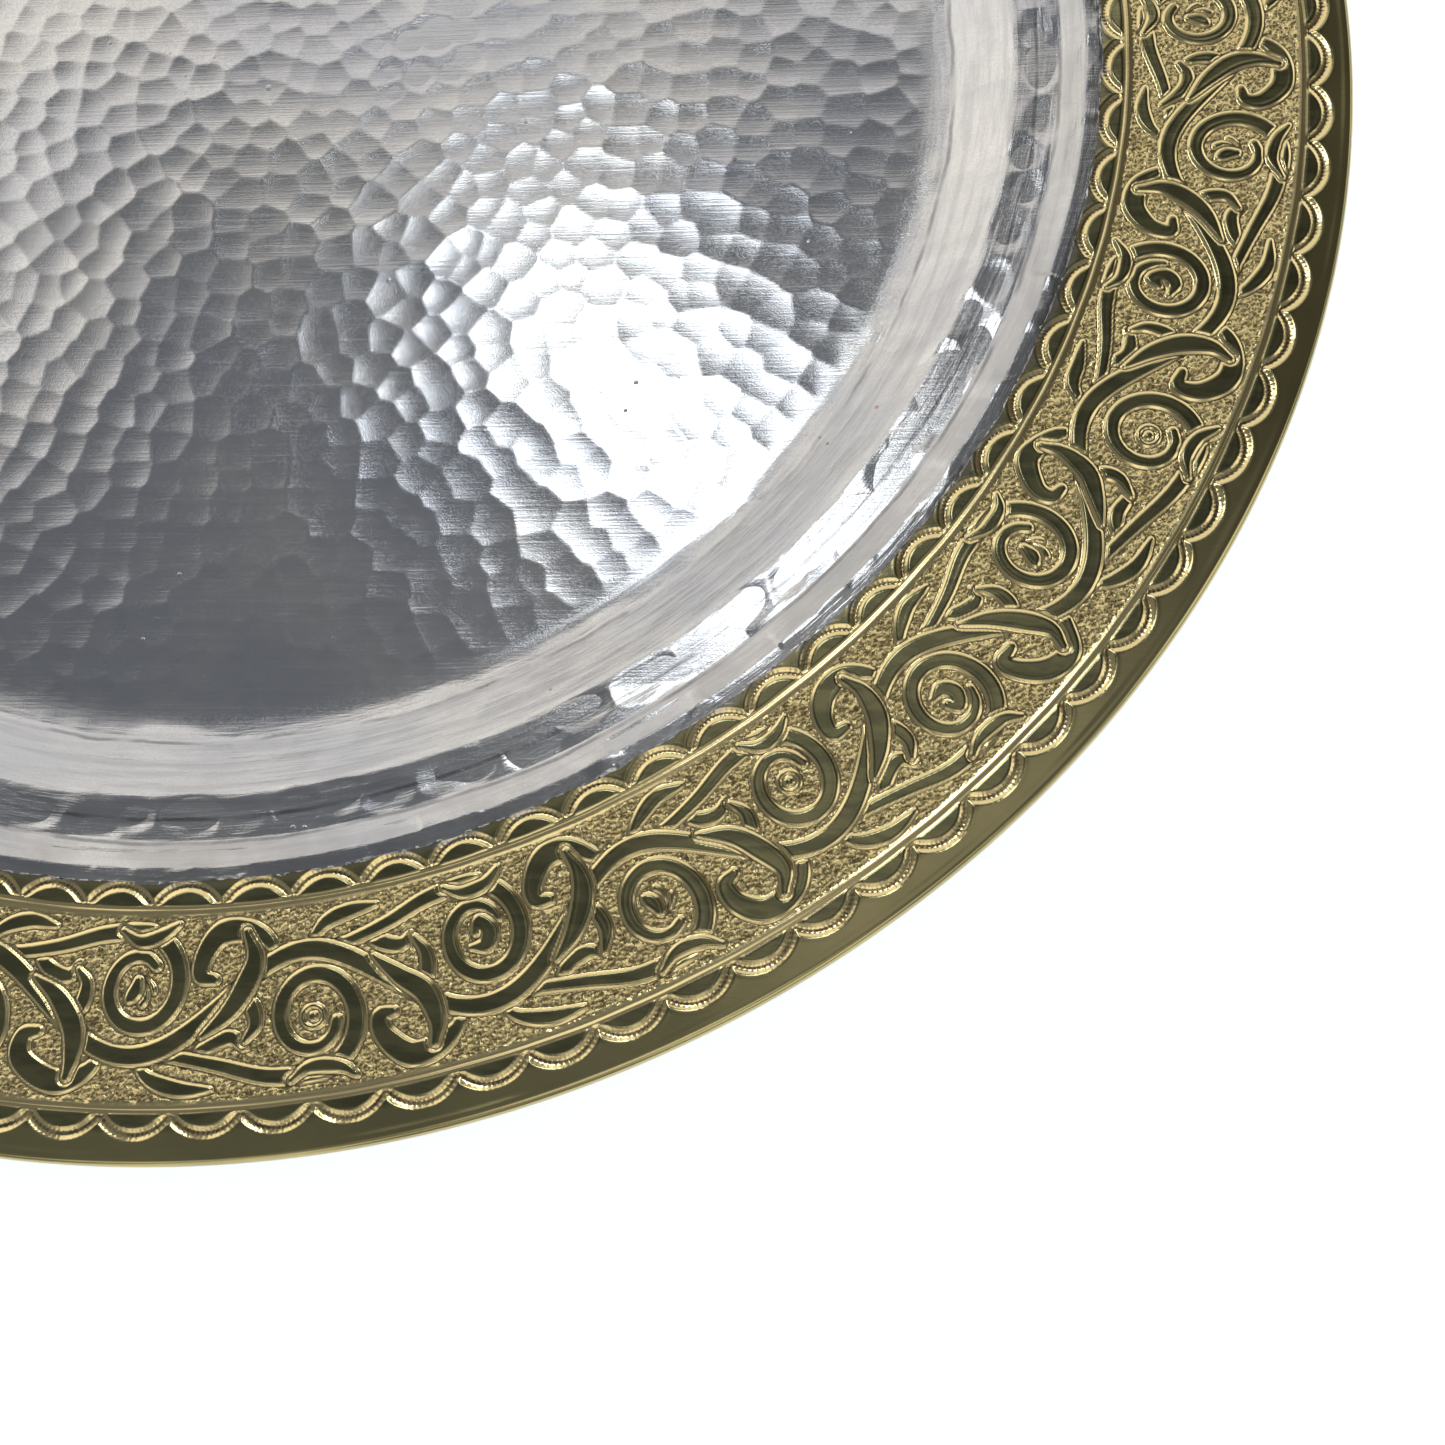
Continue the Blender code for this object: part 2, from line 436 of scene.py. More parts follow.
def runner_and_leaves(rng, kind):
    """Strokes of half a repeat with the vine's crest at (0, rise), in the order they are chased."""
    def shaken(points, amount=0.35):
        points = np.asarray(points, float)
        return points + rng.normal(0, amount, points.shape)

    turns = 1.12 + rng.uniform(-0.05, 0.1)
    share = np.linspace(0, 1, 16)
    angle = TURN * (turns * share - 0.25)
    radius = 12.6 - 6.4 * share**0.9
    eye = np.array([1.0, -5.2]) + rng.normal(0, 0.4, 2)
    coil = eye + np.stack([1.12 * radius * np.cos(angle), radius * np.sin(angle)], 1)
    lead = [[-50, -10.5], [-39, -11.2], [-26, -13.6], [-12, -17.0]]
    strokes = [leaf(np.vstack([lead, coil]), 1.0, 2.1, 1.1, 0.5)]

    corner = [[-8, 9.5], [-11, 14.0], [-17, 17.3], [-25, 17.0], [-31, 12.5], [-31.5, 7.5], [-27.5, 6.6]]
    strokes.append(leaf(shaken(corner), 0.9, 3.1, 1.1, 0.5))

    if kind == 0:
        for turn in (-0.9, 0.1, 1.1):
            tip = eye + 4.6 * np.array([math.cos(turn + 1.2), math.sin(turn + 1.2)])
            petal = [eye + [-0.6, -1.2], (eye + tip) / 2 + [0.3, -0.3], tip]
            strokes.append(leaf(petal, 0.9, 1.7, 0.5, 0.55))
    elif kind == 1:
        for size in (3.2, 1.0):
            strokes.append(leaf([eye - [0.05, 0], eye + [0.05, 0]], size, size, size))
    else:
        hook = eye + np.array([[-3.6, 2.4], [0.8, 2.8], [3.0, 0.0], [0.8, -3.0], [-1.2, -0.8]])
        strokes.append(leaf(hook, 0.5, 2.1, 0.9))

    strokes.append(leaf(shaken([[2, 12.0], [7, 16.2], [15, 18.6], [24, 18.4]]), 0.6, 1.9, 0.3, 0.5))
    strokes.append(leaf(shaken([[17, 13.2], [24, 8.6], [30, 7.6], [33, 9.6]]), 0.6, 1.8, 0.9, 0.55))
    strokes.append(leaf(shaken([[-6, -18.5], [0, -15.8], [7, -16.6], [12, -19.2]]), 0.4, 1.6, 0.4, 0.5))
    strokes.append(leaf(shaken([[-22, 3.5], [-17, 0.5], [-15.5, -4.5], [-18.5, -8.5]]), 0.4, 1.7, 0.4, 0.45))
    return strokes


def crossing_leaf(rng):
    """The leaf that is chased last, over the vine."""
    points = np.array([[-17.5, 16.5], [-15.5, 11.0], [-18.0, 4.5], [-23.5, -1.5], [-31.5, -6.5]])
    return leaf(points + rng.normal(0, 0.35, points.shape), 0.8, 2.7, 0.25, 0.42)


def vine():
    """The stem that waves once in each repeat and swells twice."""
    u = np.arange(-REPEAT, TURN_LENGTH + REPEAT, STROKE_STEP)
    width = VINE_HALF_WIDTH * (1 + 0.12 * np.sin(2 * TURN * u / REPEAT + 0.7))
    return np.stack([u, VINE_RISE * np.cos(TURN * u / REPEAT)], 1), width


class ChasedBand:
    """Heights of the ornament band on a flat grid: u runs round the rim, v outwards from its middle."""

    def __init__(self, rng):
        self.columns = round(TURN_LENGTH / GRID)
        self.step = TURN_LENGTH / self.columns
        self.base = round(-BAND_HEIGHT / 2 / self.step)
        self.rows = 1 - 2 * self.base
        grain = rng.normal(0, 1, (self.rows, self.columns))
        for _ in range(6):
            near = np.roll(grain, 1, 0) + np.roll(grain, -1, 0) + np.roll(grain, 1, 1) + np.roll(grain, -1, 1)
            grain = (grain + near) / 5
        self.height = GROUND_GRAIN * grain / grain.std() - GROUND_DEPTH
        self.ground = np.ones_like(self.height)

    def distance(self, path, width, reach):
        """How far each grid point near the stroke is outside its edge."""
        step = self.step
        low = np.floor((path.min(0) - width.max() - reach) / step).astype(int)
        high = np.ceil((path.max(0) + width.max() + reach) / step).astype(int)
        v0, v1 = max(low[1], self.base), min(high[1], self.base + self.rows - 1)
        field = np.full((v1 - v0 + 1, high[0] - low[0] + 1), 1.0)
        for a, b, wide_a, wide_b in zip(path, path[1:], width, width[1:]):
            reach_here = max(wide_a, wide_b) + reach
            start = np.floor((np.minimum(a, b) - reach_here) / step).astype(int)
            stop = np.ceil((np.maximum(a, b) + reach_here) / step).astype(int)
            bottom, top = max(start[1], v0), min(stop[1], v1)
            if top < bottom:
                continue
            x = np.arange(start[0], stop[0] + 1) * step - a[0]
            y = (np.arange(bottom, top + 1) * step - a[1])[:, None]
            d = b - a
            t = np.clip((x * d[0] + y * d[1]) / max(d @ d, 1e-12), 0, 1)
            away = np.hypot(x - t * d[0], y - t * d[1]) - (wide_a + (wide_b - wide_a) * t)
            part = field[bottom - v0:top - v0 + 1, start[0] - low[0]:stop[0] - low[0] + 1]
            np.minimum(part, away, out=part)
        rows = np.arange(v0, v1 + 1) - self.base
        return field, np.ix_(rows, np.arange(low[0], high[0] + 1) % self.columns)

    def chase(self, path, width):
        """Sets a stroke: flat inside, a small lip, and a trough round it that cuts what is there already."""
        field, index = self.distance(path, width, OUTLINE_REACH)
        lip = STROKE_LIP_HEIGHT * np.exp(-(((field + STROKE_LIP_INSET) / STROKE_LIP_WIDTH) ** 2))
        cut = lip - OUTLINE_DEPTH * smooth(*OUTLINE_INNER_WALL, field)
        keep = smooth(*OUTLINE_OUTER_WALL, field)
        old = self.height[index]
        self.height[index] = np.where(field < OUTLINE_REACH, cut * (1 - keep) + old * keep, old)
        self.ground[index] = np.where(field < OUTLINE_SMOOTH, 0.0, self.ground[index])

    def sample(self, grid, u, v):
        """Values of a grid between its points; the grid closes on itself along u."""
        x = u / self.step
        y = np.clip(v / self.step - self.base, 0, self.rows - 1.001)
        x0, y0 = np.floor(x).astype(int), np.floor(y).astype(int)
        fx, fy = x - x0, y - y0
        x0, x1 = x0 % self.columns, (x0 + 1) % self.columns
        low = grid[y0, x0] * (1 - fx) + grid[y0, x1] * fx
        high = grid[y0 + 1, x0] * (1 - fx) + grid[y0 + 1, x1] * fx
        return low * (1 - fy) + high * fy


def make_band(rng):
    """The whole band: coils and leaves first, then the vine over them, then the crossing leaves."""
    band = ChasedBand(rng)
    squeeze = REPEAT / DRAWN_REPEAT

    def chase_half(half, path, width):
        """Every second half of a repeat is upside down."""
        band.chase(path * [squeeze, (-1) ** half] + [half * REPEAT / 2, 0], width)

    for half in range(2 * REPEATS):
        for path, width in runner_and_leaves(rng, half % 3):
            chase_half(half, path, width)
    band.chase(*vine())
    for half in range(2 * REPEATS):
        path, width = crossing_leaf(rng)
        chase_half(half, path, width)
    return band


# ================================================================ scallops and lines


def groove(away, width, depth):
    """A round-bottomed chased line with the metal pushed up beside it."""
    share = np.abs(away) / (width / 2)
    trough = -depth * np.clip(1 - np.minimum(share, 1) ** 1.4, 0, None)
    lip = 0.07 * depth * np.exp(-(((share - 1.2) / 0.25) ** 2))
    return trough + lip


def bead(away):
    """A rounded ridge between two narrow valleys, its crest level with the rim."""
    crown = -BEAD_DEPTH * np.minimum(away / BEAD_HALF_WIDTH, 1.0) ** 1.15
    return crown * unsmooth(BEAD_HALF_WIDTH, BEAD_HALF_WIDTH + BEAD_VALLEY, away)


def scallops(radius, angle, row, rng):
    """Depth of a row of arcs that meet in cusps on a circle."""
    pitch = TURN / row["count"]
    start = math.radians(row["first"])
    number = np.floor((angle - start) / pitch)
    across = (angle - start - (number + 0.5) * pitch) * row["cusp"]
    side = math.copysign(1.0, row["height"])
    up = (radius - row["cusp"]) * side
    half, rise = pitch * row["cusp"] / 2, abs(row["height"])
    size = (half * half + rise * rise) / (2 * rise)
    shake = rng.normal(0, 1, (row["count"], 3))[number.astype(int) % row["count"]]
    up_from_centre = up - (rise - size + SCALLOP_SHAKE * shake[:, 0])
    across = across - SCALLOP_SHAKE * shake[:, 1]
    bearing = np.arctan2(across, up_from_centre)
    away = np.hypot(across, up_from_centre) - size
    beat = bearing * size * TURN / CHATTER_LENGTH + 2 * shake[:, 2]
    chatter = 1 + 0.10 * np.sin(beat) + 0.07 * np.sin(1.618 * beat + 3 * shake[:, 0])
    inside = smooth(-0.5 * MM, 0.2 * MM, up)
    return groove(away, row["width"], SCALLOP_DEPTH * chatter) * inside


def rim_height(radius, angle, band, rng):
    """Relief of the rim's upper face and where its punched ground and its hollows lie."""
    height = slow_waves(radius * np.cos(angle), radius * np.sin(angle), rng, *RIM_WAVES)
    height *= smooth(TIN_EDGE_RADIUS, 240 * MM, radius)
    relief = np.zeros_like(radius)
    for row in (INNER_SCALLOPS, OUTER_SCALLOPS):
        cut = scallops(radius, angle, row, rng)
        relief = np.where(np.abs(cut) > np.abs(relief), cut, relief)
    for at in BORDER_BEADS:
        uneven = 0.06 * MM * np.cos(37 * angle + at * 900) + 0.04 * MM * np.cos(95 * angle)
        away = np.abs(radius - at - uneven)
        relief = np.where(away < BEAD_HALF_WIDTH + BEAD_VALLEY, bead(away), relief)

    u, v = angle * BAND_MIDDLE, radius - BAND_MIDDLE
    half = BAND_HEIGHT / 2
    inside = smooth(-half, -half + 0.5 * MM, v) * unsmooth(half - 0.5 * MM, half, v)
    near = np.nonzero(inside > 0)[0]
    ornament, ground = np.zeros_like(radius), np.zeros_like(radius)
    ornament[near] = band.sample(band.height, u[near], v[near])
    ground[near] = band.sample(band.ground, u[near], v[near])
    relief = np.where(inside > 0, relief * (1 - inside) + ornament * inside, relief)
    return height + relief, ground * inside, np.clip(-relief / OUTLINE_DEPTH, 0, 1)


# ================================================================ pieces


def make_tray_sheet():
    """The brass: relief on the rim, the rolled edge, and a plainer back."""
    rng = np.random.default_rng(SEED)
    centre = wire_centre()
    flat = rounded(sheet_corners(centre[0]))[:-1]
    curl = squared_arc(centre, CURL_RADIUS, math.pi / 2, -CURL_SWEEP, CURL_STEPS)

    def top_step(radius):
        return RIM_STEP if radius > RIM_DETAIL_RADIUS else HIDDEN_STEP

    top = divided(np.concatenate([flat, curl]), top_step)
    under = divided(np.concatenate([flat, curl]), lambda radius: UNDER_STEP)[::-1]
    top_up, under_up = line_normals(top), line_normals(under[::-1])[::-1]
    line = np.concatenate([top + HALF_SHEET * top_up, under - HALF_SHEET * under_up])
    line[[0, -1], 0] = 0.0
    normals = np.concatenate([top_up, -under_up])
    on_top = np.arange(len(line)) < len(top)
    on_rim = on_top & (line[:, 0] > RIM_INNER_RADIUS) & (line[:, 1] > RIM_TOP - 0.02 * MM)
    steps = np.where(on_top, np.where(line[:, 0] > RIM_DETAIL_RADIUS, RIM_STEP, HIDDEN_STEP), UNDER_STEP)

    band = make_band(rng)
    found = {}

    def height_at(radius, angle, row):
        rim = np.nonzero(on_rim[row])[0]
        height, ground, hollow = np.zeros((3, len(radius)))
        height[rim], ground[rim], hollow[rim] = rim_height(radius[rim], angle[rim], band, rng)
        height *= unsmooth(*EDGE_FADE, radius)
        back = np.nonzero(~on_top[row] & (radius < CREASE_RADIUS))[0]
        x, y = radius[back] * np.cos(angle[back]), radius[back] * np.sin(angle[back])
        marks = floor_marks(x, y, rng) - MARK_DEPTH
        marks *= unsmooth(FLOOR_RADIUS - 6 * MM, FLOOR_RADIUS, radius[back])
        height[back] = np.minimum(-BACK_MARK_SHARE * marks - BACK_CLEARANCE, 0.0)
        found.update(ground=ground, hollow=hollow)
        return height

    piece = turned_mesh("tray_sheet_chased", line, normals, steps, height_at)
    point_values(piece, "ground", found["ground"])
    point_values(piece, "hollow", found["hollow"])
    return piece


def tin_height(radius, angle, rng):
    """Relief of the tin's upper face: marks on floor, ledge and lip, and soft waves on the wall."""
    x, y = radius * np.cos(angle), radius * np.sin(angle)
    height = slow_waves(x, y, rng, *TIN_WAVES) * unsmooth(*TIN_WAVES_END, radius)

    near = np.nonzero(radius < FLOOR_RADIUS + 1 * MM)[0]
    marks = floor_marks(x[near], y[near], rng) - FLOOR_MARK_LEVEL
    edge = FLOOR_RADIUS - 1.0 * MM + slow_waves(x[near], y[near], rng, *FLOOR_EDGE_WAVES)
    height[near] += marks * unsmooth(edge - 5 * MM, edge, radius[near])

    for row, reach in ((LEDGE_MARKS, LEDGE_REACH), (LIP_MARKS, LIP_REACH)):
        near = np.nonzero(np.abs(radius - row[0]) < reach)[0]
        height[near] += row_marks(radius[near], angle[near], *row, rng)

    wall = smooth(FLOOR_RADIUS - 2 * MM, CREASE_RADIUS, radius)
    height += wall * slow_waves(x, y, rng, *WALL_WAVES)
    height -= CREASE_DEPTH * np.exp(-(((radius - CREASE_RADIUS) / CREASE_HALF_WIDTH) ** 2))
    return np.where(radius > LEDGE_RADIUS, np.maximum(height, -TIN_DIP_LIMIT), height)


def tin_edge(angle, rng):
    """Radius where the wiped tin gives out, a little ragged."""
    rag = np.zeros_like(angle)
    for turns in TIN_EDGE_WAVES:
        rag += np.cos(turns * angle + rng.uniform(0, TURN)) / 3
    return TIN_EDGE_RADIUS + TIN_EDGE_RAG * rag


def make_tin():
    """The wiped tin: a skin with hammered relief above and a plain back close to the brass."""
    rng = np.random.default_rng(SEED + 1)
    middle = rounded(sheet_corners(TIN_EDGE_RADIUS + TIN_EDGE_RAG))
    top = divided(middle, lambda radius: TIN_STEP)
    back = divided(middle, lambda radius: HIDDEN_STEP)[::-1]
    top_up, back_up = line_normals(top), line_normals(back[::-1])[::-1]
    top_face = top + (HALF_SHEET + TIN_LIFT) * top_up
    back_face = back + (HALF_SHEET + TIN_BACK_LIFT) * back_up
    line = np.concatenate([top_face, back_face])
    line[[0, -1], 0] = 0.0
    normals = np.concatenate([top_up, -back_up])
    on_top = np.arange(len(line)) < len(top)
    steps = np.where(on_top, TIN_STEP, HIDDEN_STEP)

    def height_at(radius, angle, row):
        height = np.zeros_like(radius)
        upper = np.nonzero(on_top[row])[0]
        height[upper] = tin_height(radius[upper], angle[upper], rng)
        return height

    piece = turned_mesh("tin_lining_hammered", line, normals, steps, height_at)
    feather_edge(piece, rng)
    return piece


def feather_edge(piece, rng):
    """Draws the outer edge of the tin in to its ragged line and thins it there."""
    mesh = piece.data
    co = np.zeros(3 * len(mesh.vertices), np.float32)
    mesh.vertices.foreach_get("co", co)
    co = co.reshape(-1, 3).astype(float)
    radius = np.hypot(co[:, 0], co[:, 1])
    angle = np.arctan2(co[:, 1], co[:, 0])
    limit = tin_edge(angle, rng)
    outer = radius > RIM_INNER_RADIUS
    pull = np.where(outer, np.minimum(radius, limit), radius)
    scale = np.where(radius > 0, pull / np.maximum(radius, 1e-9), 1.0)
    co[:, :2] *= scale[:, None]
    thin = smooth(0, TIN_FEATHER, limit - pull)
    lowest = RIM_TOP + TIN_MIN_LIFT
    co[:, 2] = np.where(outer, lowest + np.maximum(co[:, 2] - lowest, 0) * thin, co[:, 2])
    mesh.vertices.foreach_set("co", co.astype(np.float32).ravel())
    mesh.update()


def make_wire():
    """The wire inside the rolled edge, round where the CAD's is faceted."""
    radius, height = wire_centre()
    bpy.ops.mesh.primitive_torus_add(
        major_radius=radius, minor_radius=WIRE_RADIUS, major_segments=360, minor_segments=16
    )
    wire = bpy.context.active_object
    wire.name = wire.data.name = "rim_wire_round"
    wire.location.z = height
    wire.data.shade_smooth()
    return wire


# ================================================================ materials


LINE_ROUGHNESS = 0.6  # of the noise that lines and rings are drawn with


class Nodes:
    """Short forms for building a node tree."""

    def __init__(self, tree, coordinates):
        self.tree = tree
        self.place = self.add("ShaderNodeTexCoord").outputs[coordinates]

    def add(self, kind, **settings):
        node = self.tree.nodes.new(kind)
        for key, value in settings.items():
            setattr(node, key, value)
        return node

    def link(self, source, target):
        self.tree.links.new(source, target)

    def give(self, socket, value):
        if isinstance(value, bpy.types.NodeSocket):
            self.link(value, socket)
        elif isinstance(value, tuple) and len(value) == 3 and socket.type == "RGBA":
            socket.default_value = (*value, 1.0)
        else:
            socket.default_value = value

    def maths(self, operation, *values):
        node = self.add("ShaderNodeMath", operation=operation)
        for socket, value in zip(node.inputs, values):
            self.give(socket, value)
        return node.outputs[0]

    def vector(self, operation, *values):
        """The node itself, because some of these give a vector and some a number."""
        node = self.add("ShaderNodeVectorMath", operation=operation)
        for socket, value in zip(node.inputs, values):
            self.give(socket, value)
        return node

    def ranged(self, value, low, high, to_low=0.0, to_high=1.0):
        node = self.add("ShaderNodeMapRange", interpolation_type="SMOOTHSTEP")
        for socket, given in zip(node.inputs, (value, low, high, to_low, to_high)):
            self.give(socket, given)
        return node.outputs[0]

    def mixed(self, share, a, b):
        node = self.add("ShaderNodeMix", data_type="RGBA")
        self.give(node.inputs[0], share)
        self.give(node.inputs[6], a)
        self.give(node.inputs[7], b)
        return node.outputs[2]

    def noise(self, scale, detail=3.0, roughness=0.55, place=None):
        node = self.add("ShaderNodeTexNoise")
        self.link(place or self.place, node.inputs["Vector"])
        for key, value in (("Scale", scale), ("Detail", detail), ("Roughness", roughness)):
            node.inputs[key].default_value = value
        return node.outputs["Fac"]


class MaterialNodes(Nodes):
    """The same for a new material, with what the tray's materials share."""

    def __init__(self, name, metallic=1.0):
        self.material = bpy.data.materials.new(name)
        self.material.use_nodes = True
        super().__init__(self.material.node_tree, "Object")
        self.shader = self.tree.nodes["Principled BSDF"]
        self.shader.inputs["Metallic"].default_value = metallic

    def finished(self, colour, roughness, normal):
        for key, value in (("Base Color", colour), ("Roughness", roughness), ("Normal", normal)):
            self.link(value, self.shader.inputs[key])
        return self.material

    def cells(self, scale):
        node = self.add("ShaderNodeTexVoronoi")
        self.link(self.place, node.inputs["Vector"])
        node.inputs["Scale"].default_value = scale
        return node.outputs["Distance"]

    def lines(self, turn, along, across, detail=4):
        """Noise drawn out into fine lines that are turned about Z."""
        node = self.add("ShaderNodeMapping")
        self.link(self.place, node.inputs["Vector"])
        node.inputs["Rotation"].default_value = (0, 0, turn)
        node.inputs["Scale"].default_value = (along, across, across)
        return self.noise(1.0, detail, LINE_ROUGHNESS, node.outputs[0])

    def from_axis(self):
        """How far the place is from the axis, and the flattened place."""
        flat = self.vector("MULTIPLY", self.place, (1, 1, 0)).outputs[0]
        return self.vector("LENGTH", flat).outputs["Value"], flat

    def height(self):
        parts = self.add("ShaderNodeSeparateXYZ")
        self.link(self.place, parts.inputs[0])
        return parts.outputs["Z"]

    def ring_lines(self, radius, flat, around, across):
        """Noise drawn out into rings round the axis."""
        bearing = self.vector("SCALE", self.vector("NORMALIZE", flat).outputs[0])
        bearing.inputs["Scale"].default_value = around
        outward = self.add("ShaderNodeCombineXYZ")
        self.link(self.maths("MULTIPLY", radius, across), outward.inputs["Z"])
        place = self.vector("ADD", bearing.outputs[0], outward.outputs[0]).outputs[0]
        return self.noise(1.0, 4, LINE_ROUGHNESS, place)

    def crease_line(self, radius, at, sway):
        """1 on a thin wavering line round the axis, broken in places."""
        away = self.maths("SUBTRACT", radius, at + sway / 2)
        away = self.maths("MULTIPLY_ADD", self.noise(38, 4), sway, away)
        line = self.ranged(self.maths("ABSOLUTE", away), 0.2 * CREASE_WIDTH, CREASE_WIDTH, 1.0, 0.0)
        return self.maths("MULTIPLY", line, self.ranged(self.noise(60, 3), 0.35, 0.6, 0.1, 0.75))

    def stored(self, name):
        return self.add("ShaderNodeAttribute", attribute_name=name).outputs["Fac"]

    def bump(self, height, distance, strength=1.0, below=None):
        node = self.add("ShaderNodeBump")
        self.link(height, node.inputs["Height"])
        node.inputs["Distance"].default_value = distance
        self.give(node.inputs["Strength"], strength)
        if below is not None:
            self.link(below, node.inputs["Normal"])
        return node.outputs[0]


# ---------------------------------------------------------------- tin
TIN_COLOURS = ((0.60, 0.605, 0.63), (0.74, 0.72, 0.69))
TIN_CLOUD = (0.50, 0.50, 0.52)
TIN_STREAK = (0.50, 0.50, 0.515)
TIN_SAND = (0.50, 0.50, 0.51)
TIN_PIT = (0.20, 0.19, 0.18)
COPPER_SPECK = (0.42, 0.20, 0.12)
WALL_RING = (0.42, 0.42, 0.43)
RISER_STAIN = (0.40, 0.39, 0.37)
RISER_STAIN_EDGE = (223.5 * MM, 225.5 * MM)
# painted shade: thin dark lines at the wall's foot, across the ledge and at the riser's foot
CREASE_PAINTED_SHADE = (0.20, 0.20, 0.20)
CREASE_WIDTH = 0.8 * MM
PAINTED_SHADE_LINES = (  # radius and sway
    (CREASE_RADIUS, 4 * MM),
    (218.6 * MM, 3 * MM),
    (LEDGE_RADIUS + 0.2 * MM, 3 * MM),
)


def tin_material():
    """Wiped tin: grey, a little cloudy, finely scratched, with pits, a few copper specks, and painted shade
    as thin dark lines at the wall's foot, across the ledge and at the riser's foot.
    """
    n = MaterialNodes("tin")
    radius, flat = n.from_axis()
    on_wall = n.ranged(radius, FLOOR_RADIUS, CREASE_RADIUS)

    fine_clouds = n.noise(90, 3)
    colour = n.mixed(n.ranged(n.noise(14, 4), 0.35, 0.65), *TIN_COLOURS)
    colour = n.mixed(n.ranged(fine_clouds, 0.55, 0.8, 0.0, 0.35), colour, TIN_CLOUD)
    pits = n.ranged(n.cells(150), 0.045, 0.10, 1.0, 0.0)
    pits = n.maths("MULTIPLY", pits, n.ranged(n.noise(35), 0.55, 0.7))
    colour = n.mixed(pits, colour, TIN_PIT)
    specks = n.ranged(n.cells(42), 0.020, 0.035, 0.8, 0.0)
    colour = n.mixed(n.maths("MULTIPLY", specks, n.ranged(n.noise(9), 0.58, 0.62)), colour, COPPER_SPECK)
    colour = n.mixed(n.ranged(n.lines(0.05, 12, 420), 0.30, 0.70, 0.0, 0.18), colour, TIN_STREAK)
    on_riser = n.ranged(radius, *RISER_STAIN_EDGE, 0.0, 0.55)
    colour = n.mixed(n.maths("MULTIPLY", on_riser, n.ranged(n.noise(48, 4), 0.25, 0.6)), colour, RISER_STAIN)
    rings = n.ring_lines(radius, flat, 7, 420)
    colour = n.mixed(n.maths("MULTIPLY", on_wall, n.ranged(rings, 0.42, 0.62, 0.0, 0.42)), colour, WALL_RING)
    # painted shade: a thin dark wavering line at each of these radii
    for at, sway in PAINTED_SHADE_LINES:
        colour = n.mixed(n.crease_line(radius, at, sway), colour, CREASE_PAINTED_SHADE)
    sand = n.ranged(n.noise(1900, 2), 0.44, 0.60)
    colour = n.mixed(n.maths("MULTIPLY", sand, 0.22), colour, TIN_SAND)

    scratches, crossing = n.lines(0.12, 28, 1500), n.lines(-0.9, 25, 1300)
    scratched = n.maths("MAXIMUM", n.ranged(scratches, 0.58, 0.70), n.ranged(crossing, 0.60, 0.72))
    rough = n.maths("MULTIPLY_ADD", fine_clouds, 0.07, 0.075)
    for cause, share in ((sand, 0.08), (scratched, 0.06), (pits, 0.3)):
        rough = n.maths("MULTIPLY_ADD", cause, share, rough)

    worn = n.ranged(n.noise(11), 0.42, 0.62)
    normal = n.bump(n.noise(2600, 2), 0.04 * MM, 0.45)
    normal = n.bump(scratches, 0.03 * MM, worn, normal)
    normal = n.bump(crossing, 0.03 * MM, n.maths("SUBTRACT", 1.0, worn), normal)
    normal = n.bump(pits, 0.2 * MM, 0.6, normal)
    normal = n.bump(rings, 0.4 * MM, n.maths("MULTIPLY", on_wall, 0.5), normal)
    return n.finished(colour, rough, normal)


# ---------------------------------------------------------------- brass
POLISHED = ((0.41, 0.36, 0.175), (0.51, 0.44, 0.21))
# streaked tarnish, which is also painted shade that darkens the band's upper flats
TARNISH_WITH_PAINTED_SHADE = ((0.21, 0.20, 0.105), (0.33, 0.30, 0.15))
# painted shade in the punch pits and painted highlight on their rims, over the ground's own colour
PUNCH_PIT_SHADE_RIM_HIGHLIGHT = ((0.29, 0.22, 0.09), (0.74, 0.60, 0.29))
PUNCHED_STAIN = (0.20, 0.15, 0.07)
# painted highlight inside the chased lines, scallops and bead valleys
LINE_PAINTED_HIGHLIGHT = (0.88, 0.71, 0.35)
# painted highlight along the beads' crests
BEAD_CREST_PAINTED_HIGHLIGHT = (0.86, 0.70, 0.35)
# darker colour for the deepest lines
DEEP_LINE_DARK = (0.16, 0.11, 0.06)
TIN_SMEAR = (0.42, 0.40, 0.36)

UPPER_FACE = (RIM_TOP - 0.9 * MM, RIM_TOP - 0.6 * MM)
# where the tarnish and its painted shade start and stop
TARNISH_SHADE_INNER_EDGE = (235.5 * MM, 237.5 * MM)
TARNISH_SHADE_OUTER_EDGE = (291 * MM, 293 * MM)
RIDGE_EDGE = (0.8 * MM, BEAD_HALF_WIDTH)
SMEAR_EDGE = (231.8 * MM, 233.5 * MM)
SMEAR_RAG = 6 * MM


